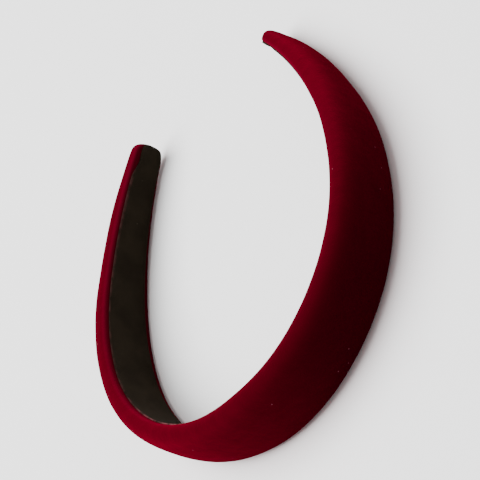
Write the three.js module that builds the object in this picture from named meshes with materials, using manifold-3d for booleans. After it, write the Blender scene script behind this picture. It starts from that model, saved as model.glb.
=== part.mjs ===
// A padded velvet headband that lies on its side: the soft velvet band, and the ribbon lining inside it.
//
// Millimetres. X runs across the band from tip to tip, Y from the crown to the tips, and Z up, along the
// band's width. The origin is the middle of the box that the resting band fits, on the surface it lies on.
import * as THREE from "three";
import { mergeVertices } from "three/addons/utils/BufferGeometryUtils.js";
import Module from "manifold-3d";

const wasm = await Module();
wasm.setup();

// The arch that the inner face follows: radii, and how far each stretch of one arm turns, in degrees
const crownRadius = 70;
const crownTurn = 81;
const sideRadius = 97;
const sideTurn = 25;
const endRadius = 180;
const endTurn = 20.25;

// How far the sections lean in at the tips, towards the head, in degrees: upper edge in, lower edge out
const tipLean = 6;

// The padded section at the crown, where the band is widest
const crownWidth = 36;
const crownThickness = 9.6;

// How the velvet rolls over the foam to the inner face. edgeRoll is the roll's width at the crown.
const edgeRoll = 3.3;
const domeFullness = 2.6;
const tipRounding = 4.8;

// The ribbon lining, glued to the inner face, with its ends turned under
const liningThickness = 0.6;
const liningGap = 0.3;
const liningTipSetback = 0.5;

// How far an end's turned-under layer reaches back past the rounded tip
const turnedUnder = 4;

// How deep the soft edge is pressed flat where the band rests on it
const restFlat = 0.4;

// Sections along one arm. along is a share of the arm's length from the crown. width and thickness are
// shares of the crown's, rollHeight is a share of the section's own thickness, and lining is the share
// of the section's width that the ribbon covers.
const SECTIONS = [
  { along: 0.0, width: 1.0, thickness: 1.0, rollHeight: 0.4, lining: 0.79 },
  { along: 0.15, width: 0.92, thickness: 1.0, rollHeight: 0.4, lining: 0.79 },
  { along: 0.3, width: 0.865, thickness: 1.01, rollHeight: 0.4, lining: 0.79 },
  { along: 0.55, width: 0.755, thickness: 1.01, rollHeight: 0.4, lining: 0.79 },
  { along: 0.8, width: 0.585, thickness: 0.88, rollHeight: 0.4, lining: 0.79 },
  { along: 1.0, width: 0.415, thickness: 0.51, rollHeight: 0.4, lining: 0.82 },
];

// How finely the shapes are divided: the distance between sections, and steps round each curve
const sectionStep = 6.5;
const TIP_STEPS = 5;
const DOME_STEPS = 16;
const ROLL_STEPS = 3;

// How often the resting tilt is worked out again from the last one
const TILT_ROUNDS = 6;

const ARCS = [
  { radius: crownRadius, turn: THREE.MathUtils.degToRad(crownTurn) },
  { radius: sideRadius, turn: THREE.MathUtils.degToRad(sideTurn) },
  { radius: endRadius, turn: THREE.MathUtils.degToRad(endTurn) },
];
const armLength = ARCS.reduce((sum, arc) => sum + arc.radius * arc.turn, 0);

// The point of the inner face's curve at a distance from the crown, and the direction out of the band
// there. Distances below zero are on the left arm.
function curveAt(distance) {
  const side = Math.sign(distance) || 1;
  const lastArc = ARCS[ARCS.length - 1];
  let remaining = Math.abs(distance);
  let across = 0;
  let forward = 0;
  let heading = 0;
  for (const arc of ARCS) {
    const stretch = arc === lastArc ? remaining : Math.min(remaining, arc.radius * arc.turn);
    const turned = heading + stretch / arc.radius;
    across += arc.radius * (Math.sin(turned) - Math.sin(heading));
    forward += arc.radius * (Math.cos(heading) - Math.cos(turned));
    heading = turned;
    remaining -= stretch;
  }
  return {
    point: new THREE.Vector2(side * across, forward),
    outward: new THREE.Vector2(side * Math.sin(heading), -Math.cos(heading)),
  };
}

// One column of the section table at a share of the arm, on a smooth line that never overshoots the
// rows and runs level through the crown
function columnAt(share, column) {
  const rows = SECTIONS;
  const last = rows.length - 1;
  const slopes = rows.slice(1).map((row, i) => (row[column] - rows[i][column]) / (row.along - rows[i].along));
  const tangent = (i) => {
    if (i === 0) return 0;
    if (i === last) return slopes[last - 1];
    if (slopes[i - 1] * slopes[i] <= 0) return 0;
    return (2 * slopes[i - 1] * slopes[i]) / (slopes[i - 1] + slopes[i]);
  };
  const next = rows.findIndex((row) => row.along >= share);
  const right = next < 1 ? 1 : next;
  const from = rows[right - 1];
  const to = rows[right];
  const span = to.along - from.along;
  const t = (share - from.along) / span;
  const bend = t * t * (3 - 2 * t);
  const leaving = t * (1 - t) * (1 - t) * span * tangent(right - 1);
  const arriving = t * t * (t - 1) * span * tangent(right);
  return from[column] + (to[column] - from[column]) * bend + leaving + arriving;
}

// Distances from the crown at which the band is cut into sections. There is one at each stop, and they
// lie close together round the tip, which tapers over its rounding. The last one is half a step short of
// reach, so that the tip ends in a small flat.
function stations(reach, rounding, stops = []) {
  const marks = [0, ...stops, reach - rounding];
  const arm = [];
  for (let i = 0; i + 1 < marks.length; i++) {
    const steps = Math.ceil((marks[i + 1] - marks[i]) / sectionStep);
    for (let j = 1; j <= steps; j++) {
      arm.push({ distance: marks[i] + ((marks[i + 1] - marks[i]) * j) / steps, taper: 1 });
    }
  }
  for (let i = 1; i <= TIP_STEPS; i++) {
    const angle = ((Math.PI / 2) * i) / (TIP_STEPS + 0.5);
    arm.push({ distance: reach - rounding + rounding * Math.sin(angle), taper: Math.cos(angle) });
  }
  const leftArm = arm.map((station) => ({ distance: -station.distance, taper: station.taper })).reverse();
  return [...leftArm, { distance: 0, taper: 1 }, ...arm];
}

// Points of a section, turned about the inner face's middle by the lean at that share of the arm
function leaned(points, share) {
  const lean = THREE.MathUtils.degToRad(tipLean) * share * share;
  const cos = Math.cos(lean);
  const sin = Math.sin(lean);
  return points.map(([width, out]) => [width * cos + out * sin, out * cos - width * sin]);
}

// The outline of the padded section: a full dome outside, and edges that roll over to a flat inner face.
// Points are [along the band's width, out of the band].
function coverSection(station) {
  const share = Math.min(Math.abs(station.distance) / armLength, 1);
  const half = (crownWidth * columnAt(share, "width") * station.taper) / 2;
  const thickness = crownThickness * columnAt(share, "thickness") * Math.sqrt(station.taper);
  const rollHeight = thickness * columnAt(share, "rollHeight");
  const roll = (edgeRoll * 2 * half) / crownWidth;
  const points = [];
  for (let i = 0; i <= DOME_STEPS; i++) {
    const angle = (Math.PI * i) / DOME_STEPS;
    const side = -Math.sign(Math.cos(angle)) * Math.abs(Math.cos(angle)) ** (2 / domeFullness);
    const rise = Math.abs(Math.sin(angle)) ** (2 / domeFullness);
    points.push([half * side, rollHeight + (thickness - rollHeight) * rise]);
  }
  const corner = [];
  for (let i = 1; i <= ROLL_STEPS; i++) {
    const angle = ((Math.PI / 2) * i) / ROLL_STEPS;
    corner.push([half - roll + roll * Math.cos(angle), rollHeight * (1 - Math.sin(angle))]);
  }
  points.push(...corner);
  points.push(...corner.reverse().map(([width, out]) => [-width, out]));
  return leaned(points, share);
}

// The outline of the ribbon, twice as thick where its end is turned under
function liningSection(station) {
  const distance = Math.abs(station.distance);
  const share = Math.min(distance / armLength, 1);
  const cover = crownWidth * columnAt(share, "width");
  const half = (cover * columnAt(share, "lining") * station.taper) / 2;
  const layers = distance > (foldStart + foldEnd) / 2 ? 2 : 1;
  const near = -liningGap;
  const far = near - layers * liningThickness;
  const points = [
    [-half, far],
    [-half, near],
    [half, near],
    [half, far],
  ];
  return leaned(points, share);
}

// Joins a ring of points at each station into one closed shape
function loft(rings) {
  const count = rings[0].length;
  const positions = rings.flat().flatMap((point) => point.toArray());
  const indices = [];
  for (let i = 0; i + 1 < rings.length; i++) {
    for (let j = 0; j < count; j++) {
      const a = i * count + j;
      const b = i * count + ((j + 1) % count);
      indices.push(a, a + count, b, b, a + count, b + count);
    }
  }
  const lastRing = (rings.length - 1) * count;
  for (let j = 1; j + 1 < count; j++) {
    indices.push(0, j, j + 1);
    indices.push(lastRing, lastRing + j + 1, lastRing + j);
  }
  const geometry = new THREE.BufferGeometry();
  geometry.setAttribute("position", new THREE.Float32BufferAttribute(positions, 3));
  geometry.setIndex(indices);
  return geometry;
}

// The rings of a section swept along the band, before the band is laid down
function sweep(stationList, section) {
  return stationList.map((station) => {
    const { point, outward } = curveAt(station.distance);
    return section(station).map(([width, out]) => {
      const place = point.clone().addScaledVector(outward, out);
      return new THREE.Vector3(place.x, place.y, width);
    });
  });
}

// How the band lies down by itself: turned about X until the crown's edge and the arms touch the
// surface together, then lowered by the depth that the soft edge gives, with the origin at mid length
function restingPlace(rings) {
  const points = rings.flat();
  let tilt = 0;
  for (let round = 0; round < TILT_ROUNDS; round++) {
    const turned = points.map((point) => point.clone().applyAxisAngle(new THREE.Vector3(1, 0, 0), tilt));
    const lengthwise = turned.map((point) => point.y);
    const middle = (Math.min(...lengthwise) + Math.max(...lengthwise)) / 2;
    const crownLow = lowest(turned.filter((point) => point.y <= middle));
    const tipLow = lowest(turned.filter((point) => point.y > middle));
    tilt -= Math.atan2(tipLow.z - crownLow.z, tipLow.y - crownLow.y);
  }
  const place = new THREE.Matrix4().makeRotationX(tilt);
  const box = new THREE.Box3().setFromPoints(points.map((point) => point.clone().applyMatrix4(place)));
  const shift = new THREE.Matrix4().makeTranslation(0, -(box.min.y + box.max.y) / 2, -box.min.z - restFlat);
  return shift.multiply(place);
}

function lowest(points) {
  return points.reduce((low, point) => (point.z < low.z ? point : low));
}

// A closed mesh as a solid that can be joined and cut
function toSolid(geometry) {
  geometry.deleteAttribute("normal");
  geometry.deleteAttribute("uv");
  const merged = mergeVertices(geometry);
  const vertProperties = new Float32Array(merged.attributes.position.array);
  const triVerts = new Uint32Array(merged.index.array);
  return new wasm.Manifold(new wasm.Mesh({ numProp: 3, vertProperties, triVerts }));
}

function toGeometry(solid) {
  const { vertProperties, triVerts } = solid.getMesh();
  const geometry = new THREE.BufferGeometry();
  geometry.setAttribute("position", new THREE.Float32BufferAttribute(vertProperties, 3));
  geometry.setIndex(new THREE.Uint32BufferAttribute(triVerts, 1));
  return geometry;
}

// Presses the soft edge flat where it rests, by cutting off what would lie below the surface
function flattenOnSurface(geometry) {
  geometry.computeBoundingBox();
  const size = geometry.boundingBox.getSize(new THREE.Vector3());
  const below = new THREE.BoxGeometry(2 * size.x, 2 * size.y, size.z);
  below.translate(0, 0, -size.z / 2);
  return toGeometry(toSolid(geometry).subtract(toSolid(below)));
}

function namedMesh(name, geometry, look) {
  geometry.computeVertexNormals();
  const mesh = new THREE.Mesh(geometry, new THREE.MeshStandardMaterial(look));
  mesh.name = name;
  return mesh;
}

const liningReach = armLength - liningTipSetback;
const foldStart = liningReach - tipRounding - turnedUnder;
const foldEnd = foldStart + liningThickness;
const coverRings = sweep(stations(armLength, tipRounding), coverSection);
const liningRings = sweep(stations(liningReach, tipRounding, [foldStart, foldEnd]), liningSection);
const laidDown = restingPlace(coverRings);

// The padded band: velvet over foam over a stiff core, one soft solid as thick as the real one
function velvetCover() {
  const band = flattenOnSurface(loft(coverRings).applyMatrix4(laidDown));
  return namedMesh("velvet_cover", band, { color: 0x6d0015, roughness: 0.95, metalness: 0 });
}

// The black ribbon that covers the inner face from tip to tip
function lining() {
  const ribbon = loft(liningRings).applyMatrix4(laidDown);
  return namedMesh("lining", ribbon, { color: 0x1c1815, roughness: 0.9, metalness: 0 });
}

const group = new THREE.Group();
group.add(velvetCover(), lining());

export default group;
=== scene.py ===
"""A padded velvet headband that lies on its side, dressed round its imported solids.

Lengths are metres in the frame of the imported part: X across the arms, Y from the crown to the tips and
Z up, along the band's width. Each piece is modelled as one swept arm, mirrored, shaped by a short table
of sections and laid down on the floor as the real band lies.
"""
import logging
import math
from dataclasses import dataclass
from enum import Enum

import bpy
import numpy as np
from mathutils import Matrix, Vector


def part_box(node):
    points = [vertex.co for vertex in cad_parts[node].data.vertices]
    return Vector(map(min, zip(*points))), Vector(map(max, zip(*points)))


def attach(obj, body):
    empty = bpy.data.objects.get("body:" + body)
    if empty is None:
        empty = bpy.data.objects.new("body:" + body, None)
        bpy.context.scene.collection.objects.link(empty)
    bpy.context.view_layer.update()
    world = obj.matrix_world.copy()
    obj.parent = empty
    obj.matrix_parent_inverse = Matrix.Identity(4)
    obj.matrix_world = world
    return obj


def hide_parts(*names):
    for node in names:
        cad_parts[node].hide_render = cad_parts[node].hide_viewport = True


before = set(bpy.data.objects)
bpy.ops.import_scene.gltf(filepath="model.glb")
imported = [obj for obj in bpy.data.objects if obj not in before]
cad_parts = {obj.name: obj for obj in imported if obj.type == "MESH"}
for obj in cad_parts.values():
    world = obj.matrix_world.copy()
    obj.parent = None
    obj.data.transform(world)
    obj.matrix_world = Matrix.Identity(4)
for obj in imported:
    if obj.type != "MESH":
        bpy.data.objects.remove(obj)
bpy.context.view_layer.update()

# Short names for Blender's types.
Object = bpy.types.Object
Socket = bpy.types.NodeSocket
Tree = bpy.types.NodeTree

LOG = logging.getLogger("headband")
BODY = "root"
# The columns of a point in the frame, and of a place on the band.
ACROSS, FORWARD, UP = 0, 1, 2
ALONG, OUT, WIDE = 0, 1, 2
# Vertices nearer than these weld, and lengths below TINY count as none.
CROWN_WELD, TIP_WELD, TINY = 2e-5, 2e-6, 1e-9
TIP_DECIMALS = 4
DOME_SAMPLES, ROLL_SAMPLES = 400, 40
LENGTH_SAMPLES, TAPER_SAMPLES = 401, 201
FINE_DETAIL, BROAD_DETAIL = 2.0, 3.0
WHITE = (1.0, 1.0, 1.0, 1.0)


class Modifier(Enum):
    """The modifiers that shape and finish the pieces."""

    MIRROR = "MIRROR"
    CLOTH = "CLOTH"
    SMOOTH = "SMOOTH"
    SUBDIVIDE = "SUBSURF"
    DISPLACE = "DISPLACE"


@dataclass(frozen=True)
class Arc:
    """One round stretch of an arm."""

    radius: float
    turn: float


@dataclass(frozen=True)
class Section:
    """One row of the section table, in shares of the arm's length and of the crown's section."""

    along: float
    width: float
    thickness: float
    lining: float


SECTIONS: tuple[Section, ...] = (
    Section(along=0.0, width=0.98, thickness=0.96, lining=0.79),
    Section(along=0.15, width=0.922, thickness=0.98, lining=0.79),
    Section(along=0.3, width=0.876, thickness=1.0, lining=0.785),
    Section(along=0.55, width=0.777, thickness=1.01, lining=0.775),
    Section(along=0.8, width=0.572, thickness=0.86, lining=0.79),
    Section(along=1.0, width=0.412, thickness=0.53, lining=0.82),
)


def eased(share: np.ndarray) -> np.ndarray:
    """Turns a straight rise from 0 to 1 into one that starts and ends level."""
    return share * share * (3 - 2 * share)


def column_at(shares: np.ndarray, column: str) -> np.ndarray:
    """Reads one column of the section table on a smooth line that never overshoots its rows.

    Args:
        shares: Shares of the arm's length, from 0 at the crown to 1 at a tip.
        column: The name of the column.

    Returns:
        The column's value at each share. The line runs level through the crown.
    """
    along = np.array([row.along for row in SECTIONS])
    value = np.array([getattr(row, column) for row in SECTIONS])
    span = np.diff(along)
    slope = np.diff(value) / span
    tangent = np.zeros(len(value))
    tangent[-1] = slope[-1]
    for i in range(1, len(slope)):
        if slope[i - 1] * slope[i] > 0:
            tangent[i] = 2 * slope[i - 1] * slope[i] / (slope[i - 1] + slope[i])
    row = np.clip(np.searchsorted(along, shares) - 1, 0, len(slope) - 1)
    t = (shares - along[row]) / span[row]
    leaving = t * (1 - t) ** 2 * span[row] * tangent[row]
    arriving = t * t * (t - 1) * span[row] * tangent[row + 1]
    return value[row] + (value[row + 1] - value[row]) * eased(t) + leaving + arriving


@dataclass(frozen=True)
class Tip:
    """How one tip was closed by hand: its extra length, its skewed end, and how its two halves spread.

    The spreads are shares of the table's width. All four grow from nothing over the zone.
    """

    longer: float
    skew: float
    upper: float
    lower: float
    zone: float


@dataclass(frozen=True)
class Arch:
    """The curve that the inner face follows, and how the band lies on the floor."""

    crown_width: float = 0.036
    crown: Arc = Arc(radius=0.070, turn=math.radians(81))
    side: Arc = Arc(radius=0.097, turn=math.radians(25))
    end: Arc = Arc(radius=0.180, turn=math.radians(20.25))
    tip_lean: float = math.radians(6)
    rest_tilt: float = math.radians(-3.33)
    rest_flat: float = 0.0008
    left_tip: Tip = Tip(longer=0.0005, skew=0.0007, upper=0.07, lower=-0.04, zone=0.080)
    right_tip: Tip = Tip(longer=0.0006, skew=-0.0004, upper=-0.28, lower=-0.08, zone=0.075)

    @property
    def arcs(self) -> tuple[Arc, ...]:
        """The arcs of one arm, from the crown to the tip."""
        return (self.crown, self.side, self.end)

    @property
    def arm_length(self) -> float:
        """The length of one arm along the inner face."""
        return sum(arc.radius * arc.turn for arc in self.arcs)

    def centres(self) -> list[np.ndarray]:
        """Finds the centre of each arc of the right arm.

        Returns:
            One point of X and Y for each arc, before the band is laid down.
        """
        found = [np.array([0.0, self.crown.radius])]
        heading = 0.0
        for arc, following in zip(self.arcs, self.arcs[1:]):
            heading += arc.turn
            outward = np.array([math.sin(heading), -math.cos(heading)])
            found.append(found[-1] + outward * (arc.radius - following.radius))
        return found

    def unrolled(self, points: np.ndarray) -> np.ndarray:
        """Turns points of the arch into places on the band.

        Args:
            points: Points before the band is laid down, one in each row.

        Returns:
            For each point, the distance along the band (below zero on the left arm), how far it is out
            of the inner face, and its place across the band's width.
        """
        right = np.abs(points[:, ACROSS])
        distance = np.zeros(len(points))
        out = np.zeros(len(points))
        heading_from, distance_from = 0.0, 0.0
        for arc, centre in zip(self.arcs, self.centres()):
            spoke = np.stack([right, points[:, FORWARD]], 1) - centre
            heading = np.arctan2(spoke[:, 0], -spoke[:, 1])
            here = heading >= heading_from
            along = distance_from + arc.radius * (heading - heading_from)
            distance = np.where(here, along, distance)
            out = np.where(here, np.hypot(spoke[:, 0], spoke[:, 1]) - arc.radius, out)
            heading_from += arc.turn
            distance_from += arc.radius * arc.turn
        side = np.where(points[:, ACROSS] < 0, -1.0, 1.0)
        return np.stack([side * distance, out, points[:, UP]], 1)

    def rolled(self, places: np.ndarray) -> np.ndarray:
        """Turns places on the band into points of the arch.

        Args:
            places: Distance along, out and across the width, one place in each row.

        Returns:
            The points before the band is laid down.
        """
        reach = np.abs(places[:, ALONG])
        right = np.zeros(len(places))
        forward = np.zeros(len(places))
        heading_from, distance_from = 0.0, 0.0
        for arc, centre in zip(self.arcs, self.centres()):
            here = reach >= distance_from
            heading = heading_from + (reach - distance_from) / arc.radius
            spoke = arc.radius + places[:, OUT]
            right = np.where(here, centre[0] + spoke * np.sin(heading), right)
            forward = np.where(here, centre[1] - spoke * np.cos(heading), forward)
            heading_from += arc.turn
            distance_from += arc.radius * arc.turn
        side = np.where(places[:, ALONG] < 0, -1.0, 1.0)
        return np.stack([side * right, forward, places[:, WIDE]], 1)

    def share_at(self, places: np.ndarray) -> np.ndarray:
        """Tells the share of the arm's length at each place, from 0 at the crown to 1 at a tip."""
        return np.clip(np.abs(places[:, ALONG]) / self.arm_length, 0, 1)

    def nearness(self, reach: np.ndarray, zone: float) -> np.ndarray:
        """Tells how near places are to a tip: 0 up to the start of the zone, 1 at the tip."""
        return eased(np.clip(1 - (self.arm_length - reach) / zone, 0, 1))

    def closed_by_hand(self, places: np.ndarray, taper: np.ndarray) -> np.ndarray:
        """Gives each tip its own skewed end and spread.

        Args:
            places: Distance along, out and across the untapered width, one place in each row.
            taper: How much is left of the section at each place, from 1 to 0 round a tip.

        Returns:
            The same places, moved along the band and spread across it.
        """
        reach = np.abs(places[:, ALONG])
        along, width = places[:, ALONG].copy(), places[:, WIDE].copy()
        for side, tip in ((-1.0, self.left_tip), (1.0, self.right_tip)):
            here = np.where(places[:, ALONG] * side > 0, self.nearness(reach, tip.zone), 0.0)
            skewed = tip.skew * taper * places[:, WIDE] / (self.crown_width / 2)
            along += side * here * (tip.longer + skewed)
            width *= 1 + here * np.where(places[:, WIDE] > 0, tip.upper, tip.lower)
        return np.stack([along, places[:, OUT], width], 1)

    def leaned(self, places: np.ndarray) -> np.ndarray:
        """Leans the sections in towards the head, more and more to the tips.

        Args:
            places: Distance along, out and across the width, one place in each row.

        Returns:
            The same places with their sections turned about the middle of the inner face.
        """
        lean = self.tip_lean * self.share_at(places) ** 2
        out = places[:, OUT] * np.cos(lean) - places[:, WIDE] * np.sin(lean)
        width = places[:, WIDE] * np.cos(lean) + places[:, OUT] * np.sin(lean)
        return np.stack([places[:, ALONG], out, width], 1)

    def laid(self, places: np.ndarray) -> np.ndarray:
        """Turns places on the band into points of the tipped arch, not yet moved to the floor."""
        return self.tipped(self.rolled(self.leaned(places)), self.rest_tilt)

    def placed(self, points: np.ndarray, floor_shift: Vector) -> np.ndarray:
        """Turns points of the lying band back into places on it, with the sections' lean left in."""
        return self.unrolled(self.tipped(points - np.array(floor_shift), -self.rest_tilt))

    def tipped(self, points: np.ndarray, tilt: float) -> np.ndarray:
        """Tips points about X.

        Args:
            points: Points of the arch, one in each row.
            tilt: The angle to tip them by.

        Returns:
            The tipped points.
        """
        cos, sin = math.cos(tilt), math.sin(tilt)
        forward = points[:, FORWARD] * cos - points[:, UP] * sin
        up = points[:, FORWARD] * sin + points[:, UP] * cos
        return np.stack([points[:, ACROSS], forward, up], 1)


def outline_points(dense: np.ndarray, count: int) -> np.ndarray:
    """Spaces points evenly round a closed outline.

    Args:
        dense: Many points round the outline, one in each row.
        count: How many points to space out.

    Returns:
        The spaced points.
    """
    closed = np.vstack([dense, dense[:1]])
    steps = np.hypot(*np.diff(closed, axis=0).T)
    walked = np.concatenate([[0.0], np.cumsum(steps)])
    wanted = np.arange(count) * walked[-1] / count
    return np.stack([np.interp(wanted, walked, closed[:, i]) for i in range(2)], 1)


def pick_only(obj: Object) -> None:
    """Selects one object and makes it the active one.

    Args:
        obj: The object to select.
    """
    bpy.ops.object.select_all(action="DESELECT")
    obj.select_set(True)
    bpy.context.view_layer.objects.active = obj


def read_points(obj: Object) -> np.ndarray:
    """Reads where an object's vertices are.

    Args:
        obj: The object to read.

    Returns:
        One point in each row.
    """
    flat = np.empty(len(obj.data.vertices) * 3)
    obj.data.vertices.foreach_get("co", flat)
    return flat.reshape(-1, 3)


def write_points(obj: Object, points: np.ndarray) -> None:
    """Moves an object's vertices to the given points, one in each row."""
    obj.data.vertices.foreach_set("co", points.ravel())
    obj.data.update()


def apply_modifier(obj: Object, kind: Modifier, **values: object) -> None:
    """Adds a modifier to an object and applies it at once.

    Args:
        obj: The object to change.
        kind: The modifier's type.
        values: The modifier's settings.
    """
    pick_only(obj)
    modifier = obj.modifiers.new(kind.name.title(), kind.value)
    for name, value in values.items():
        setattr(modifier, name, value)
    bpy.ops.object.modifier_apply(modifier=modifier.name)


@dataclass(frozen=True)
class Unevenness:
    """A slight soft unevenness of a surface: the size of its lumps, their detail and their height."""

    name: str
    lump: float
    detail: int
    height: float

    def work_into(self, obj: Object) -> None:
        """Displaces an object's surface by the unevenness.

        Args:
            obj: The object to change.
        """
        clouds = bpy.data.textures.new(self.name, "CLOUDS")
        clouds.noise_scale = self.lump
        clouds.noise_depth = self.detail
        even = {"texture_coords": "LOCAL", "strength": self.height, "mid_level": 0.5}
        apply_modifier(obj, Modifier.DISPLACE, texture=clouds, **even)


@dataclass
class SweptPiece:
    """A piece whose section runs along both arms from tip to tip."""

    arch: Arch
    name: str
    step: float
    tip_steps: int
    tip_rounding: float
    tip_setback: float

    @property
    def reach(self) -> float:
        """How far along each arm the piece reaches."""
        return self.arch.arm_length - self.tip_setback

    def outline(self) -> np.ndarray:
        """Gives the section at the crown: rows of width and distance out of the inner face."""
        raise NotImplementedError

    def sized(self, share: np.ndarray, taper: np.ndarray, places: np.ndarray) -> np.ndarray:
        """Gives places on the untapered sweep the size of their own section.

        Args:
            share: The share of the arm's length at each place.
            taper: How much is left of the section there, from 1 to 0 round a tip.
            places: Distance along, out and across the width.

        Returns:
            The places of the tapered piece.
        """
        raise NotImplementedError

    def section_ring(self) -> Object:
        """Adds a circle and shapes it into the crown's section, standing across the band.

        Returns:
            The object that holds the ring.
        """
        outline = self.outline()
        radius = float(np.abs(outline).max())
        bpy.ops.object.select_all(action="DESELECT")
        bpy.ops.mesh.primitive_circle_add(vertices=len(outline), radius=radius)
        obj = bpy.context.object
        obj.name = obj.data.name = self.name
        ring = np.stack([np.zeros(len(outline)), -outline[:, 1], outline[:, 0]], 1)
        write_points(obj, ring)
        return obj

    def spin_arm(self, obj: Object) -> None:
        """Spins the section's ring along the right arm, arc by arc, to its tip.

        Args:
            obj: The object that holds the ring.
        """
        pick_only(obj)
        bpy.ops.object.mode_set(mode="EDIT")
        bpy.ops.mesh.select_mode(type="VERT")
        bpy.ops.mesh.select_all(action="SELECT")
        walked = 0.0
        straight = self.reach - self.tip_rounding
        for arc, centre in zip(self.arch.arcs, self.arch.centres()):
            length = min(arc.radius * arc.turn, straight - walked)
            self.spin_ring(centre, length / arc.radius, math.ceil(length / self.step))
            walked += length
        self.spin_ring(centre, self.tip_rounding / arc.radius, self.tip_steps)
        bpy.ops.object.mode_set(mode="OBJECT")

    def spin_ring(self, centre: np.ndarray, turn: float, steps: int) -> None:
        """Spins the selected ring about an upright axis, and leaves its last copy selected.

        Args:
            centre: X and Y of the axis.
            turn: The angle to spin through.
            steps: How many copies to make.
        """
        middle = (float(centre[0]), float(centre[1]), 0.0)
        bpy.ops.mesh.spin(steps=steps, angle=turn, center=middle, axis=(0, 0, -1))

    def mirror_arm(self, obj: Object) -> None:
        """Mirrors the arm across the crown and welds the two.

        Args:
            obj: The object that holds the right arm.
        """
        apply_modifier(obj, Modifier.MIRROR, use_axis=(True, False, False), merge_threshold=CROWN_WELD)

    def tapered(self, obj: Object) -> np.ndarray:
        """Gives the even sweep its taper and its rounded tips.

        Args:
            obj: The object that holds both arms.

        Returns:
            Places on the band: distance along, out and across the width.
        """
        places = self.arch.unrolled(read_points(obj))
        reach = np.abs(places[:, ALONG])
        start = self.reach - self.tip_rounding
        # Without the rounding each tip's last ring keeps a hair's width and doesn't weld to one point.
        turned = np.round((reach - start) / self.tip_rounding, TIP_DECIMALS)
        angle = np.clip(turned, 0, 1) * math.pi / 2
        rounded = np.where(angle > 0, start + self.tip_rounding * np.sin(angle), reach)
        places[:, ALONG] = np.sign(places[:, ALONG]) * rounded
        taper = np.cos(angle)
        return self.sized(self.arch.share_at(places), taper, self.arch.closed_by_hand(places, taper))

    def close_tips(self, obj: Object) -> None:
        """Welds each tip's last ring to one point and turns all faces outwards.

        Args:
            obj: The object to close.
        """
        pick_only(obj)
        bpy.ops.object.mode_set(mode="EDIT")
        bpy.ops.mesh.select_all(action="SELECT")
        bpy.ops.mesh.remove_doubles(threshold=TIP_WELD)
        bpy.ops.mesh.normals_make_consistent(inside=False)
        bpy.ops.object.mode_set(mode="OBJECT")

    def modelled(self, floor_shift: Vector) -> Object:
        """Models the piece and lays it down.

        Args:
            floor_shift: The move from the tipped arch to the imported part's place.

        Returns:
            The closed piece in its place.
        """
        obj = self.section_ring()
        self.spin_arm(obj)
        self.mirror_arm(obj)
        write_points(obj, self.arch.laid(self.tapered(obj)) + np.array(floor_shift))
        self.close_tips(obj)
        return obj

    def mark_places(self, obj: Object, floor_shift: Vector) -> None:
        """Stores each vertex's place on the band, which the materials follow.

        Args:
            obj: The finished piece.
            floor_shift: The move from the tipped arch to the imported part's place.
        """
        places = self.arch.placed(read_points(obj), floor_shift)
        attribute = obj.data.attributes.new("band_place", "FLOAT_VECTOR", "POINT")
        attribute.data.foreach_set("vector", places.astype(np.float32).ravel())


@dataclass(frozen=True)
class Swelling:
    """The cloth run that fills the velvet with foam.

    It runs at scale times the real size, which suits the cloth's springs, and limit is how far it may
    move a point at the real size.
    """

    scale: float = 30.0
    limit: float = 0.0009
    frames: int = 20
    quality: int = 5
    mass: float = 0.3
    stretch: float = 15.0
    shear: float = 5.0
    bending: float = 0.5
    pressure: float = 4.0

    def run(self, obj: Object, glued: str) -> None:
        """Runs the cloth under pressure and applies its last shape.

        Args:
            obj: The slack band at the run's scale.
            glued: The vertex group that stays where it is.
        """
        pick_only(obj)
        modifier = obj.modifiers.new("Swell", Modifier.CLOTH.value)
        settings = modifier.settings
        settings.quality = self.quality
        settings.mass = self.mass
        settings.tension_stiffness = settings.compression_stiffness = self.stretch
        settings.shear_stiffness = self.shear
        settings.bending_stiffness = self.bending
        settings.use_pressure = True
        settings.uniform_pressure_force = self.pressure
        settings.effector_weights.gravity = 0
        settings.vertex_group_mass = glued
        scene = bpy.context.scene
        for number in range(1, self.frames + 1):
            scene.frame_set(number)
        bpy.ops.object.modifier_apply(modifier=modifier.name)
        scene.frame_set(1)


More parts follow.
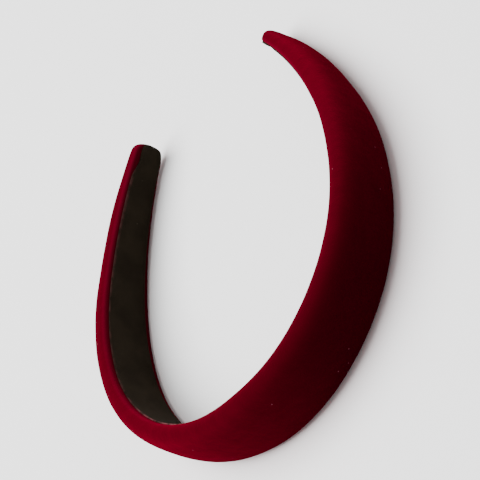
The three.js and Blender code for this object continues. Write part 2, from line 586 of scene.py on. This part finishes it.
@dataclass
class VelvetBand(SweptPiece):
    """The padded band: velvet stretched over foam, with edges that roll to the inner face."""

    name: str = "velvet_band"
    step: float = 0.002
    tip_steps: int = 7
    tip_rounding: float = 0.0048
    tip_setback: float = 0.0
    thickness: float = 0.0096
    edge_roll: float = 0.0033
    roll_height: float = 0.4
    roll_fullness: float = 2.4
    fullness: float = 2.6
    ring_points: int = 64
    slack: float = 0.0007
    slack_power: int = 4
    swelling: Swelling = Swelling()
    glued_below: float = 0.45
    glued_tip: float = 0.020
    filled_slope: float = 4.0
    smoothing: float = 0.5
    smoothing_passes: int = 4
    lumps: Unevenness = Unevenness(name="foam_lumps", lump=0.016, detail=1, height=0.00022)
    tip_width_bluntness: float = 0.9
    tip_bluntness: float = 0.3

    def outline(self) -> np.ndarray:
        """Draws a full dome outside, rolled edges, and a flat inner face.

        Returns:
            Rows of width and distance out of the inner face.
        """
        half = self.arch.crown_width / 2
        rise = self.thickness * self.roll_height
        angle = np.linspace(0, math.pi, DOME_SAMPLES)
        power = 2 / self.fullness
        dome_width = -np.sign(np.cos(angle)) * np.abs(np.cos(angle)) ** power * half
        dome_out = rise + (self.thickness - rise) * np.abs(np.sin(angle)) ** power
        quarter = np.linspace(0, math.pi / 2, ROLL_SAMPLES)[1:]
        roll_power = 2 / self.roll_fullness
        roll_width = half - self.edge_roll * (1 - np.abs(np.cos(quarter)) ** roll_power)
        roll_out = rise * (1 - np.sin(quarter) ** roll_power)
        width = np.concatenate([dome_width, roll_width, -roll_width[::-1]])
        out = np.concatenate([dome_out, roll_out, roll_out[::-1]])
        return outline_points(np.stack([width, out], 1), self.ring_points)

    def sized(self, share: np.ndarray, taper: np.ndarray, places: np.ndarray) -> np.ndarray:
        """Tapers the section's width and thickness.

        Args:
            share: The share of the arm's length at each place.
            taper: How much is left of the section there, from 1 to 0 round a tip.
            places: Distance along, out and across the width.

        Returns:
            The places of the tapered band.
        """
        width = places[:, WIDE] * column_at(share, "width") * taper**self.tip_width_bluntness
        out = places[:, OUT] * column_at(share, "thickness") * taper**self.tip_bluntness
        return np.stack([places[:, ALONG], out, width], 1)

    def floor_shift(self) -> Vector:
        """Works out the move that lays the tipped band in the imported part's place.

        Returns:
            The move, from the crown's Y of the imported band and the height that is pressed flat.
        """
        outline = self.outline()
        along = np.linspace(-self.arch.arm_length, self.arch.arm_length, LENGTH_SAMPLES)
        grid = [np.column_stack([np.full(len(outline), s), outline[:, 1], outline[:, 0]]) for s in along]
        places = np.concatenate(grid)
        share = np.abs(places[:, ALONG]) / self.arch.arm_length
        points = self.arch.laid(self.sized(share, np.ones(len(places)), places))
        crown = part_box("velvet_cover")[0][FORWARD]
        lowest = points[:, UP].min() + self.arch.rest_flat
        return Vector((0.0, crown - points[:, FORWARD].min(), -lowest))

    def rest_on_floor(self, obj: Object) -> None:
        """Presses what would lie below the floor flat on it.

        Args:
            obj: The padded band.
        """
        points = read_points(obj)
        points[:, UP] = np.maximum(points[:, UP], 0.0)
        write_points(obj, points)

    def pad(self, obj: Object, floor_shift: Vector) -> None:
        """Swells the velvet from a slightly slack shape, with its inner face and its tips glued.

        Args:
            obj: The band as modelled.
            floor_shift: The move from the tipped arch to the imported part's place.
        """
        full = read_points(obj)
        places = self.arch.placed(full, floor_shift)
        share = self.arch.share_at(places)
        rise = np.clip(places[:, OUT] / (self.thickness * column_at(share, "thickness")), 0, 1)
        normals = np.empty(len(full) * 3)
        obj.data.vertices.foreach_get("normal", normals)
        free = np.clip((self.arch.arm_length - np.abs(places[:, ALONG])) / self.glued_tip, 0, 1)
        depth = self.slack * free * rise**self.slack_power * column_at(share, "width") ** 2
        slim = full - normals.reshape(-1, 3) * depth[:, None]
        glued = obj.vertex_groups.new(name="glued")
        held = (rise < self.glued_below) | (free < self.glued_below)
        glued.add(np.flatnonzero(held).tolist(), 1.0, "REPLACE")
        write_points(obj, slim * self.swelling.scale)
        self.swelling.run(obj, glued.name)
        moved = read_points(obj) / self.swelling.scale - slim
        length = np.linalg.norm(moved, axis=1)
        allowed = np.minimum(length, self.swelling.limit) / np.maximum(length, TINY)
        write_points(obj, slim + moved * allowed[:, None])
        self.smooth_filled(obj, rise)

    def smooth_filled(self, obj: Object, rise: np.ndarray) -> None:
        """Smooths the swollen part, less and less down to the glued part.

        Args:
            obj: The swollen band.
            rise: How far up the padding each vertex is, from 0 at the inner face to 1.
        """
        filled = obj.vertex_groups.new(name="filled")
        for number in np.flatnonzero(rise > self.glued_below).tolist():
            weight = float(min(1.0, (rise[number] - self.glued_below) * self.filled_slope))
            filled.add([number], weight, "REPLACE")
        passes = {"factor": self.smoothing, "iterations": self.smoothing_passes}
        apply_modifier(obj, Modifier.SMOOTH, vertex_group=filled.name, **passes)
        obj.vertex_groups.clear()

    def finish_surface(self, obj: Object) -> None:
        """Refines the swollen band, gives its foam a slight unevenness and presses its rest flat.

        Args:
            obj: The padded band.
        """
        apply_modifier(obj, Modifier.SUBDIVIDE, levels=1, render_levels=1)
        self.lumps.work_into(obj)
        self.rest_on_floor(obj)
        pick_only(obj)
        bpy.ops.object.shade_smooth()

    def build(self) -> tuple[Object, Vector]:
        """Models, pads and places the band.

        Returns:
            The finished band, and the move that laid it down.
        """
        shift = self.floor_shift()
        obj = self.modelled(shift)
        self.pad(obj, shift)
        self.finish_surface(obj)
        self.mark_places(obj, shift)
        return obj, shift


@dataclass
class RibbonLining(SweptPiece):
    """The black ribbon on the inner face, double where its ends are turned under."""

    name: str = "ribbon_lining"
    step: float = 0.002
    tip_steps: int = 6
    tip_rounding: float = 0.0048
    tip_setback: float = 0.0002
    ribbon: float = 0.0004
    seat: float = 0.00015
    selvedge: float = 0.00028
    turned_under: float = 0.004
    fold_step: float = 0.0012
    fold_thickness: float = 0.8
    waves: Unevenness = Unevenness(name="ribbon_waves", lump=0.012, detail=2, height=0.00010)
    crease_angle: float = math.radians(50)
    top_points: int = 25
    under_points: int = 9
    edge_points: int = 7
    lower_margin: float = 0.06
    drawn_in_by: tuple[float, ...] = (0.16, 0.28, 0.0)
    drawn_in_at: tuple[float, ...] = (0.0, 0.008, 0.014)
    tip_squareness: float = 0.4
    border: float = 0.0009
    border_fade: float = 0.0006
    border_on_arms: float = 0.18
    border_reach: float = 0.080
    border_reach_fade: float = 0.03

    def outline(self) -> np.ndarray:
        """Draws a thin strip with a slightly thicker round selvedge at each edge.

        Returns:
            Rows of width and distance out of the inner face.
        """
        half = self.arch.crown_width / 2 - self.selvedge
        middle = -self.seat - self.ribbon / 2
        across = np.linspace(-half, half, self.top_points)
        under = np.linspace(half, -half, self.under_points)
        round_edge = np.linspace(-math.pi / 2, math.pi / 2, self.edge_points)
        edge_width = half + self.selvedge * np.cos(round_edge)
        edge_out = middle + self.selvedge * np.sin(round_edge)
        width = np.concatenate([across[1:-1], edge_width, under[1:-1], -edge_width[::-1]])
        far = np.full(len(across) - 2, middle - self.ribbon / 2)
        near = np.full(len(under) - 2, middle + self.ribbon / 2)
        out = np.concatenate([far, edge_out, near, edge_out[::-1]])
        return np.stack([width, out], 1)

    def sized(self, share: np.ndarray, taper: np.ndarray, places: np.ndarray) -> np.ndarray:
        """Tapers the width, draws the tips' corners in and doubles the turned-under ends.

        Args:
            share: The share of the arm's length at each place.
            taper: How much is left of the section there, from 1 to 0 round a tip.
            places: Distance along, out and across the width.

        Returns:
            The places of the tapered ribbon.
        """
        cover = column_at(share, "width") * column_at(share, "lining")
        from_tip = self.arch.arm_length - np.abs(places[:, ALONG])
        corner = np.interp(from_tip, self.drawn_in_at, self.drawn_in_by)
        drawn_in = np.where(places[:, WIDE] > 0, corner, self.lower_margin)
        width = places[:, WIDE] * cover * (1 - drawn_in) * taper**self.tip_squareness
        fold = self.reach - self.tip_rounding - self.turned_under
        folded = np.clip((np.abs(places[:, ALONG]) - fold) / self.fold_step, 0, 1)
        layers = 1 + self.fold_thickness * eased(folded)
        out = (places[:, OUT] + self.seat) * layers - self.seat
        return np.stack([places[:, ALONG], out, width], 1)

    def cut_size(self) -> tuple[float, float, float]:
        """Works out the ribbon as it was cut, flat.

        Returns:
            Its greatest width, its length with the turned-under ends, and its flat area.
        """
        share = np.linspace(0, 1, TAPER_SAMPLES)
        cover = self.arch.crown_width * column_at(share, "width") * column_at(share, "lining")
        cover *= 1 - self.lower_margin / 2
        under = self.turned_under + self.tip_rounding
        length = 2 * (self.reach + under)
        area = 2 * (float(cover.mean()) * self.reach + float(cover[-1]) * under)
        return float(cover.max()), length, area

    def build(self, shift: Vector) -> Object:
        """Models and places the ribbon.

        Args:
            shift: The move that lays the band down.

        Returns:
            The finished ribbon.
        """
        obj = self.modelled(shift)
        apply_modifier(obj, Modifier.SUBDIVIDE, levels=1, render_levels=1)
        self.waves.work_into(obj)
        pick_only(obj)
        bpy.ops.object.shade_smooth_by_angle(angle=self.crease_angle)
        self.mark_places(obj, shift)
        self.mark_selvedge(obj)
        return obj

    def mark_selvedge(self, obj: Object) -> None:
        """Stores how near each vertex is to the ribbon's edge, for the border line that shows at the crown.

        Args:
            obj: The ribbon with its places on the band.
        """
        flat = np.empty(len(obj.data.vertices) * 3, np.float32)
        obj.data.attributes["band_place"].data.foreach_get("vector", flat)
        places = flat.reshape(-1, 3)
        reach = np.abs(places[:, ALONG])
        share = self.arch.share_at(places)
        half = self.arch.crown_width / 2 * column_at(share, "width") * column_at(share, "lining")
        edge = np.clip((np.abs(places[:, WIDE]) - (half - self.border)) / self.border_fade, 0, 1)
        crown = np.clip((self.border_reach - reach) / self.border_reach_fade, 0, 1)
        edge *= self.border_on_arms + (1 - self.border_on_arms) * crown
        attribute = obj.data.attributes.new("selvedge", "FLOAT", "POINT")
        attribute.data.foreach_set("value", edge.astype(np.float32))


class Canvas:
    """A node tree that nodes are added to and joined on."""

    def __init__(self, tree: Tree) -> None:
        """Keeps the tree and empties it."""
        self.tree = tree
        tree.nodes.clear()

    def node(self, kind: str, inputs: dict | None = None, **settings: object) -> bpy.types.Node:
        """Adds one node.

        Args:
            kind: The node's type without its ShaderNode prefix.
            inputs: Values or output sockets by input name or number.
            settings: The node's own settings.

        Returns:
            The new node.
        """
        prefix = "" if kind.startswith("NodeGroup") else "ShaderNode"
        made = self.tree.nodes.new(prefix + kind)
        for name, value in settings.items():
            setattr(made, name, value)
        for name, value in (inputs or {}).items():
            self.feed(made, name, value)
        return made

    def feed(self, node: bpy.types.Node, name: str | int, value: object) -> None:
        """Links an output socket to an input, or sets the input's value.

        Args:
            node: The node that holds the input.
            name: The input's name or number.
            value: A socket or a plain value.
        """
        if isinstance(value, Socket):
            self.tree.links.new(value, node.inputs[name])
        else:
            node.inputs[name].default_value = value

    def maths(self, operation: str, first: object, second: object = 0.0) -> Socket:
        """Adds a Math node and returns its result."""
        return self.node("Math", {0: first, 1: second}, operation=operation).outputs[0]

    def blended(self, first: object, second: object, share: float) -> Socket:
        """Adds two masks, the first by its share and the second by the rest, and returns the sum."""
        rest = self.maths("MULTIPLY", second, 1 - share)
        return self.maths("ADD", self.maths("MULTIPLY", first, share), rest)

    def mixed(self, factor: object, low: object, high: object) -> Socket:
        """Adds a colour mix and returns its result."""
        made = self.node("Mix", {"Factor": factor, 6: low, 7: high}, data_type="RGBA")
        return made.outputs[2]

    def relief(self, height: object, depth: float, share: float, **others: object) -> Socket:
        """Raises a mask by a share of a depth, and returns the changed normal."""
        inputs = {"Height": height, "Distance": depth, "Strength": share, **others}
        return self.node("Bump", inputs).outputs["Normal"]

    def spread(self, value: object, low: object, high: object) -> Socket:
        """Stretches the values between low and high to 0 and 1, and returns the result."""
        limits = {"Value": value, "From Min": low, "From Max": high}
        return self.node("MapRange", limits, interpolation_type="SMOOTHSTEP").outputs["Result"]


def new_group(name: str, inputs: dict[str, object], output: str) -> tuple[Canvas, bpy.types.Node]:
    """Starts a node group with named inputs and one number as output.

    Args:
        name: The group's name.
        inputs: Default values by input name. A tuple makes a vector input.
        output: The output's name.

    Returns:
        The group's canvas and its input node.
    """
    tree = bpy.data.node_groups.new(name, "ShaderNodeTree")
    for label, value in inputs.items():
        kind = "NodeSocketVector" if isinstance(value, tuple) else "NodeSocketFloat"
        made = tree.interface.new_socket(label, in_out="INPUT", socket_type=kind)
        made.default_value = value
    tree.interface.new_socket(output, in_out="OUTPUT", socket_type="NodeSocketFloat")
    canvas = Canvas(tree)
    return canvas, canvas.node("NodeGroupInput")


def end_group(canvas: Canvas, output: str, value: Socket) -> Tree:
    """Joins a group's result to its output and returns the group's tree."""
    canvas.node("NodeGroupOutput", {output: value})
    return canvas.tree


def mottle_group() -> Tree:
    """Builds the broad, soft patches in which a cloth is lighter and darker.

    Returns:
        The group's tree.
    """
    inputs = {"Place": (0.0, 0.0, 0.0), "Size": 0.02, "Low": 0.35, "High": 0.65}
    canvas, given = new_group("Mottle", inputs, "Value")
    scale = canvas.maths("DIVIDE", 1.0, given.outputs["Size"])
    pattern = {"Vector": given.outputs["Place"], "Scale": scale, "Detail": BROAD_DETAIL}
    noise = canvas.node("TexNoise", pattern)
    value = canvas.spread(noise.outputs["Fac"], given.outputs["Low"], given.outputs["High"])
    return end_group(canvas, "Value", value)


def fleck_group() -> Tree:
    """Builds small flecks of lint, where a chosen cell's middle comes to the surface.

    Returns:
        The group's tree.
    """
    inputs = {"Place": (0.0, 0.0, 0.0), "Spacing": 0.006, "Size": 0.0004, "Share": 0.1}
    canvas, given = new_group("Lint flecks", inputs, "Mask")
    scale = canvas.maths("DIVIDE", 1.0, given.outputs["Spacing"])
    cells = canvas.node("TexVoronoi", {"Vector": given.outputs["Place"], "Scale": scale})
    reach = canvas.maths("DIVIDE", given.outputs["Size"], given.outputs["Spacing"])
    near = canvas.maths("LESS_THAN", cells.outputs["Distance"], reach)
    pick = canvas.node("SeparateColor", {"Color": cells.outputs["Color"]}).outputs[0]
    chosen = canvas.maths("LESS_THAN", pick, given.outputs["Share"])
    return end_group(canvas, "Mask", canvas.maths("MULTIPLY", near, chosen))


@dataclass(frozen=True)
class Specks:
    """The lint on a cloth: its colour, the size of a cell and of a fleck, and how many cells hold one."""

    colour: tuple
    spacing: float
    size: float
    share: float

    def mask(self, canvas: Canvas, place: object, flecks: Tree) -> Socket:
        """Places the group of lint with these sizes and returns its mask."""
        sizes = {"Spacing": self.spacing, "Size": self.size, "Share": self.share}
        return canvas.node("Group", {"Place": place, **sizes}, node_tree=flecks).outputs["Mask"]


@dataclass(frozen=True)
class Cloth:
    """What both cloths have: broad patches, lint, and a rough surface with a soft sheen."""

    name: str
    patch: float
    lint: Specks
    roughness: float
    specular: float
    sheen_weight: float
    sheen_roughness: float
    sheen: tuple

    def coordinates(self, canvas: Canvas) -> Socket:
        """Gives the coordinates that the cloth's pattern follows."""
        raise NotImplementedError

    def woven(self, canvas: Canvas, place: Socket, patches: Socket) -> tuple[Socket, Socket]:
        """Builds the cloth itself.

        Args:
            canvas: The material's canvas.
            place: The coordinates that the pattern follows.
            patches: The mask of broad patches.

        Returns:
            The cloth's colour without lint, and its normal.
        """
        raise NotImplementedError

    def material(self, mottle: Tree, flecks: Tree) -> bpy.types.Material:
        """Builds the material.

        Args:
            mottle: The group of broad patches.
            flecks: The group of lint.

        Returns:
            The cloth's material.
        """
        made = bpy.data.materials.new(self.name)
        made.use_nodes = True
        canvas = Canvas(made.node_tree)
        place = self.coordinates(canvas)
        patches = canvas.node("Group", {"Place": place, "Size": self.patch}, node_tree=mottle)
        cloth, normal = self.woven(canvas, place, patches.outputs["Value"])
        colour = canvas.mixed(self.lint.mask(canvas, place, flecks), cloth, self.lint.colour)
        shader = canvas.node("BsdfPrincipled", {"Base Color": colour, "Normal": normal})
        shader.inputs["Roughness"].default_value = self.roughness
        shader.inputs["Specular IOR Level"].default_value = self.specular
        shader.inputs["Sheen Weight"].default_value = self.sheen_weight
        shader.inputs["Sheen Roughness"].default_value = self.sheen_roughness
        shader.inputs["Sheen Tint"].default_value = self.sheen
        canvas.node("OutputMaterial", {"Surface": shader.outputs["BSDF"]})
        return made


@dataclass(frozen=True)
class Velvet(Cloth):
    """The dark crimson velvet, and its short dense pile.

    The pile is in tufts, lies in broader ruffles and leans to the band's upper edge. The rolled edges by
    the ribbon are painted lighter: painted light that lifts the shade on their inward side.
    """

    name: str = "crimson_velvet"
    deep: tuple = (0.0040, 0.00003, 0.0003, 1.0)
    glow: tuple = (0.0077, 0.00006, 0.0006, 1.0)
    # Painted light: a lighter colour for the rolled edges by the ribbon that lifts their shade, and how far
    # out of the inner face it reaches.
    roll_painted_light: tuple = (0.034, 0.0012, 0.0044, 1.0)
    roll_painted_light_depth: float = 0.0015
    sheen: tuple = (0.50, 0.0020, 0.0355, 1.0)
    sheen_weight: float = 1.0
    sheen_roughness: float = 0.6
    roughness: float = 1.0
    specular: float = 0.0
    lint: Specks = Specks(colour=(0.12, 0.04, 0.05, 1.0), spacing=0.006, size=0.00028, share=0.7)
    patch: float = 0.022
    patch_share: float = 0.65
    tuft: float = 0.00045
    tuft_range: tuple[float, float] = (0.25, 0.75)
    tuft_height: float = 0.00018
    tuft_strength: float = 0.6
    lay: float = 0.007
    lay_height: float = 0.0007
    lay_strength: float = 0.5
    nap_lean: float = 0.85

    def coordinates(self, canvas: Canvas) -> Socket:
        """Gives the piece's own coordinates, as the velvet is one cloth with no grain along the band."""
        return canvas.node("TexCoord").outputs["Object"]

    def woven(self, canvas: Canvas, place: Socket, patches: Socket) -> tuple[Socket, Socket]:
        """Builds the pile.

        Args:
            canvas: The material's canvas.
            place: The piece's own coordinates.
            patches: The mask of broad patches.

        Returns:
            The pile's colour, and the direction in which it stands.
        """
        tufts = canvas.node("TexNoise", {"Vector": place, "Scale": 1 / self.tuft, "Detail": FINE_DETAIL})
        tuft_shade = canvas.spread(tufts.outputs["Fac"], *self.tuft_range)
        shade = canvas.blended(patches, tuft_shade, self.patch_share)
        cloth = canvas.mixed(shade, self.deep, self.glow)
        # Painted light: the rolled edges by the ribbon are mixed towards a lighter colour, lifting their
        # shade.
        cloth = canvas.mixed(self.roll_painted_light_mask(canvas), cloth, self.roll_painted_light)
        lay = canvas.node("TexNoise", {"Vector": place, "Scale": 1 / self.lay, "Detail": FINE_DETAIL})
        nap = self.combed(canvas)
        ruffled = canvas.relief(lay.outputs["Fac"], self.lay_height, self.lay_strength, Normal=nap)
        normal = canvas.relief(tufts.outputs["Fac"], self.tuft_height, self.tuft_strength, Normal=ruffled)
        return cloth, normal

    def roll_painted_light_mask(self, canvas: Canvas) -> Socket:
        """Marks the rolled edges by the ribbon, where a lighter colour is painted in as painted light over
        their shade.

        Args:
            canvas: The material's canvas.

        Returns:
            A mask that is 1 by the ribbon and 0 on the dome.
        """
        place = canvas.node("Attribute", attribute_name="band_place").outputs["Vector"]
        out = canvas.node("SeparateXYZ", {"Vector": place}).outputs["Y"]
        return canvas.maths("SUBTRACT", 1.0, canvas.spread(out, 0.0, self.roll_painted_light_depth))

    def combed(self, canvas: Canvas) -> Socket:
        """Leans the pile towards the band's upper edge, so that the upper side glows and the lower is dark.

        Args:
            canvas: The material's canvas.

        Returns:
            The direction in which the pile stands.
        """
        outward = canvas.node("TexCoord").outputs["Normal"]
        leaning = canvas.node("VectorMath", {0: outward, 1: (0.0, 0.0, self.nap_lean)}, operation="ADD")
        spaces = {"vector_type": "NORMAL", "convert_from": "OBJECT", "convert_to": "WORLD"}
        turned = canvas.node("VectorTransform", {"Vector": leaning.outputs[0]}, **spaces)
        return canvas.node("VectorMath", {0: turned.outputs[0]}, operation="NORMALIZE").outputs[0]


@dataclass(frozen=True)
class Ribbon(Cloth):
    """The matt black ribbon with its fine plain weave, and the lighter fuzz along its edge."""

    name: str = "black_ribbon"
    dark: tuple = (0.0082, 0.0060, 0.0038, 1.0)
    light: tuple = (0.0142, 0.0104, 0.0066, 1.0)
    selvedge: tuple = (0.150, 0.045, 0.052, 1.0)
    sheen: tuple = (0.6, 0.42, 0.27, 1.0)
    sheen_weight: float = 0.04
    sheen_roughness: float = 0.5
    roughness: float = 0.92
    specular: float = 0.02
    lint: Specks = Specks(colour=(0.06, 0.05, 0.04, 1.0), spacing=0.006, size=0.00020, share=0.5)
    patch: float = 0.012
    patch_share: float = 0.6
    fuzz_scale: float = 420.0
    fuzz_range: tuple[float, float] = (0.3, 0.62)
    thread: float = 0.00036
    thread_height: float = 0.00006
    thread_strength: float = 0.7

    def coordinates(self, canvas: Canvas) -> Socket:
        """Gives the places on the band, so that the weave follows the ribbon."""
        return canvas.node("Attribute", attribute_name="band_place").outputs["Vector"]

    def woven(self, canvas: Canvas, place: Socket, patches: Socket) -> tuple[Socket, Socket]:
        """Builds the weave and the edge's fuzz.

        Args:
            canvas: The material's canvas.
            place: The places on the band.
            patches: The mask of broad patches.

        Returns:
            The ribbon's colour, and its normal with the threads' relief.
        """
        parts = canvas.node("SeparateXYZ", {"Vector": place})
        warp = self.threads(canvas, parts.outputs["X"])
        weft = self.threads(canvas, parts.outputs["Z"])
        weave = canvas.maths("MULTIPLY", warp, weft)
        shade = canvas.blended(patches, weave, self.patch_share)
        cloth = canvas.mixed(shade, self.dark, self.light)
        edge = canvas.node("Attribute", attribute_name="selvedge").outputs["Fac"]
        fuzz = canvas.node("TexNoise", {"Vector": place, "Scale": self.fuzz_scale, "Detail": FINE_DETAIL})
        edge = canvas.maths("MULTIPLY", edge, canvas.spread(fuzz.outputs["Fac"], *self.fuzz_range))
        relief = canvas.relief(weave, self.thread_height, self.thread_strength)
        return canvas.mixed(edge, cloth, self.selvedge), relief

    def threads(self, canvas: Canvas, coordinate: Socket) -> Socket:
        """Rounds one direction's threads: 1 on the middle of a thread and 0 between two."""
        turns = canvas.maths("MULTIPLY", coordinate, math.pi / self.thread)
        return canvas.maths("ABSOLUTE", canvas.maths("SINE", turns))


@dataclass
class Studio:
    """The pale floor, the soft light and the camera."""

    azimuth: float = math.radians(44.8)
    elevation: float = math.radians(36.8)
    roll: float = math.radians(-71.6)
    distance: float = 1.065
    lens: float = 201.6
    sensor: float = 36.0
    aim: Vector = Vector((0.0053, 0.00212, 0.01466))
    floor_size: float = 6.0
    floor_colour: tuple = (0.92, 0.92, 0.92, 1.0)
    floor_roughness: float = 0.9
    floor_specular: float = 0.1
    room_light: float = 0.6
    key_place: Vector = Vector((-0.9, 0.15, 2.2))
    key_side: float = 2.6
    key_power: float = 195.0

    def build(self) -> None:
        """Builds the floor, the light and the camera."""
        self.add_floor()
        self.add_world()
        self.add_key()
        self.add_camera()

    def add_floor(self) -> None:
        """Adds the plain pale floor at Z 0."""
        bpy.ops.object.select_all(action="DESELECT")
        bpy.ops.mesh.primitive_plane_add(size=self.floor_size)
        floor = bpy.context.object
        floor.name = "floor"
        made = bpy.data.materials.new("pale_floor")
        made.use_nodes = True
        shader = made.node_tree.nodes["Principled BSDF"]
        shader.inputs["Base Color"].default_value = self.floor_colour
        shader.inputs["Roughness"].default_value = self.floor_roughness
        shader.inputs["Specular IOR Level"].default_value = self.floor_specular
        floor.data.materials.append(made)

    def add_world(self) -> None:
        """Surrounds the scene with even white light."""
        world = bpy.data.worlds.new("white_room")
        bpy.context.scene.world = world
        world.use_nodes = True
        background = world.node_tree.nodes["Background"]
        background.inputs["Color"].default_value = WHITE
        background.inputs["Strength"].default_value = self.room_light

    def add_key(self) -> None:
        """Hangs the one square soft light and turns it to the band."""
        bpy.ops.object.light_add(type="AREA", location=self.key_place)
        lamp = bpy.context.object
        lamp.name = "key"
        lamp.data.size = self.key_side
        lamp.data.energy = self.key_power
        lamp.rotation_euler = (self.aim - self.key_place).to_track_quat("-Z", "Y").to_euler()

    def add_camera(self) -> None:
        """Adds the camera at the photograph's angle to the lying band."""
        level = math.cos(self.elevation)
        right, forward = math.sin(self.azimuth) * level, -math.cos(self.azimuth) * level
        away = Vector((right, forward, math.sin(self.elevation)))
        bpy.ops.object.camera_add(location=self.aim + away * self.distance)
        camera = bpy.context.object
        turn = (-away).to_track_quat("-Z", "Y").to_matrix()
        camera.rotation_euler = (turn @ Matrix.Rotation(self.roll, 3, "Z")).to_euler()
        camera.data.lens = self.lens
        camera.data.sensor_width = self.sensor
        bpy.context.scene.camera = camera


def main() -> None:
    """Builds the band, its lining and the studio, and attaches each piece to the body's empty."""
    mottle, flecks = mottle_group(), fleck_group()
    arch = Arch()

    band_sizes = VelvetBand(arch)
    band, shift = band_sizes.build()
    band.data.materials.append(Velvet().material(mottle, flecks))
    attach(band, BODY)
    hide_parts("velvet_cover")
    LOG.info("%s: %d vertices", band.name, len(band.data.vertices))

    lining_sizes = RibbonLining(arch)
    lining = lining_sizes.build(shift)
    lining.data.materials.append(Ribbon().material(mottle, flecks))
    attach(lining, BODY)
    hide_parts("lining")
    width, length, area = lining_sizes.cut_size()
    LOG.info("%s: %d vertices", lining.name, len(lining.data.vertices))

    Studio().build()


if __name__ == "__main__":
    logging.basicConfig(level=logging.INFO)
    main()
